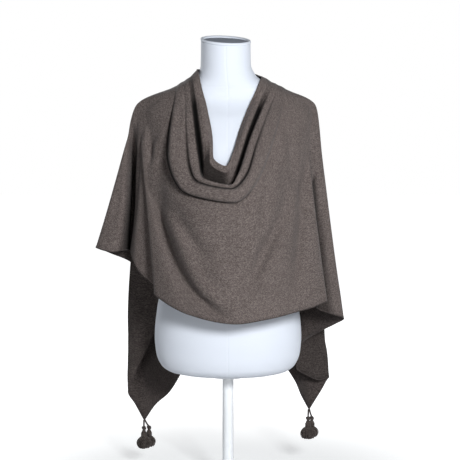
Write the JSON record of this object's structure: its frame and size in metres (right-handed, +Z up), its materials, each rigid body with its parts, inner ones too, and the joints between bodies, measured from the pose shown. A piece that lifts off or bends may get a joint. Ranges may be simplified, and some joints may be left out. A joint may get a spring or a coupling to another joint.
{
  "type": "poncho on a dress form",
  "caption": "Knitted cowl-neck poncho with pointed tasselled back corners, draped on a limbless dress form that stands on a pole and round base.",
  "frame": {"origin": "on the floor, at the middle of the base plate's underside", "axes": "+Z up; the garment's front faces -Y; +X is to the right seen from the front"},
  "size_m": [0.5609, 0.3506, 1.0115],
  "materials": {
    "knit": "matte heather knit",
    "form_cover": "smooth stretch cover",
    "neck_cap": "satin",
    "stand": "satin white enamel"
  },
  "bodies": {
    "root": {"base_plate": "stand", "cloth_back_left": "knit", "cloth_back_right": "knit", "cloth_front": "knit", "flange": "stand", "neck_cap": "neck_cap", "pole": "stand", "pole_collar": "stand", "tassel_left_back": "knit", "tassel_left_front": "knit", "tassel_right_back": "knit", "tassel_right_front": "knit", "torso": "form_cover"}
  },
  "joints": []
}
